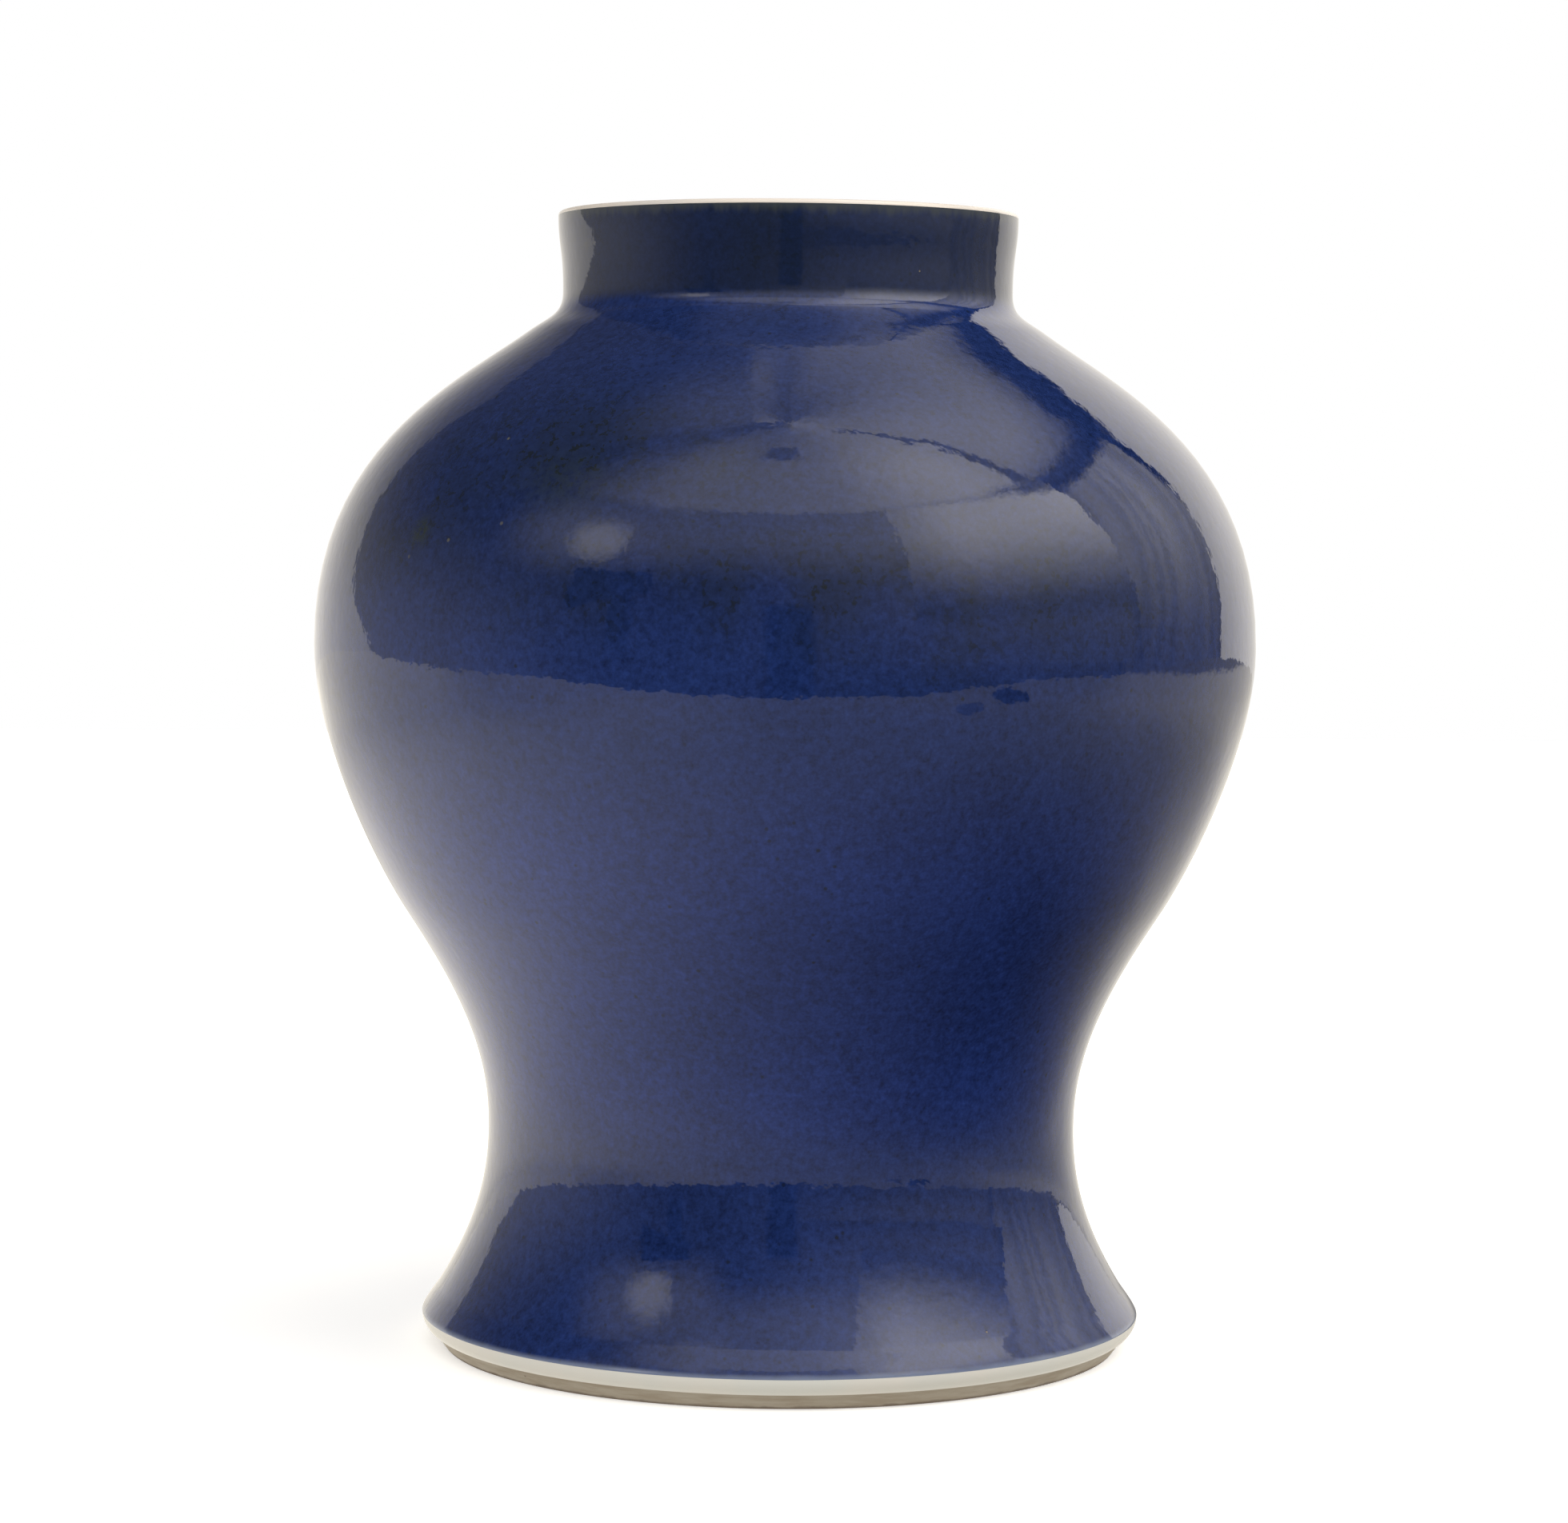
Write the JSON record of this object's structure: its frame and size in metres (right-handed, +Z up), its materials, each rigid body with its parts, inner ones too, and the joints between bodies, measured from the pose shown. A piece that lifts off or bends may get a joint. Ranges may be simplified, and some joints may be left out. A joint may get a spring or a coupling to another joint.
{
  "type": "baluster vase",
  "caption": "Glazed porcelain baluster vase: short upright neck, wide round shoulders, tapering waist and spreading foot with a bare standing ring.",
  "frame": {"origin": "centre of the standing ring's flat face, which is the bottom of the vase", "axes": "+Z up along the vase's axis, which the whole form is turned about; the picture looks along +Y"},
  "size_m": [0.2656, 0.2656, 0.32],
  "materials": {
    "porcelain_clay": "matte unglazed biscuit, thrown and turned",
    "slip": "matte luting slip, fired hard",
    "blue_glaze": "glossy mottled powder blue",
    "lip_glaze": "glossy clear over pale clay",
    "inside_glaze": "glossy clear over pale clay",
    "foot_band_glaze": "glossy clear over pale clay",
    "base_glaze": "glossy clear over pale clay"
  },
  "bodies": {
    "root": {"neck_section": "porcelain_clay", "shoulder_section": "porcelain_clay", "lower_body_section": "porcelain_clay", "foot_section": "porcelain_clay", "neck_slip_seam": "slip", "belly_slip_seam": "slip", "waist_slip_seam": "slip", "blue_glaze": "blue_glaze", "lip_glaze": "lip_glaze", "inside_glaze": "inside_glaze", "foot_band_glaze": "foot_band_glaze", "base_glaze": "base_glaze"}
  },
  "joints": []
}
